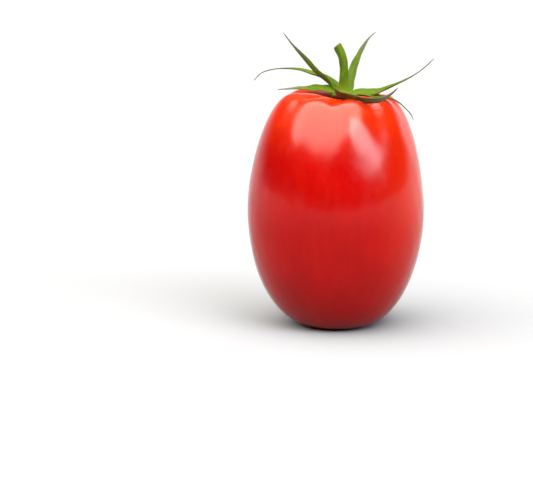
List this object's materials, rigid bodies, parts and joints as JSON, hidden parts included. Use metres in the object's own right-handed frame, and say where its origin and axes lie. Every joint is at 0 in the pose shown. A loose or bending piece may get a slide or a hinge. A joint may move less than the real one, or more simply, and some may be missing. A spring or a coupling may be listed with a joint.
{
  "type": "plum tomato",
  "caption": "Ripe plum tomato as picked: a smooth oval fruit with shallow furrows at its shoulder, standing on its blossom end, with a leafy calyx of long curling sepals and a short bent stalk.",
  "frame": {"origin": "middle of the small flat spot at the blossom end that the fruit stands on", "axes": "+Z from the blossom end up to the calyx, +X towards the side that the stalk's foot sits nearer to, -Y the front"},
  "size_m": [0.0565, 0.0535, 0.0905],
  "materials": {
    "fruit_skin": null,
    "calyx_leaf": null,
    "stalk_green": null
  },
  "bodies": {
    "root": {"fruit": "fruit_skin", "calyx": "calyx_leaf", "stalk": "stalk_green"}
  },
  "joints": []
}
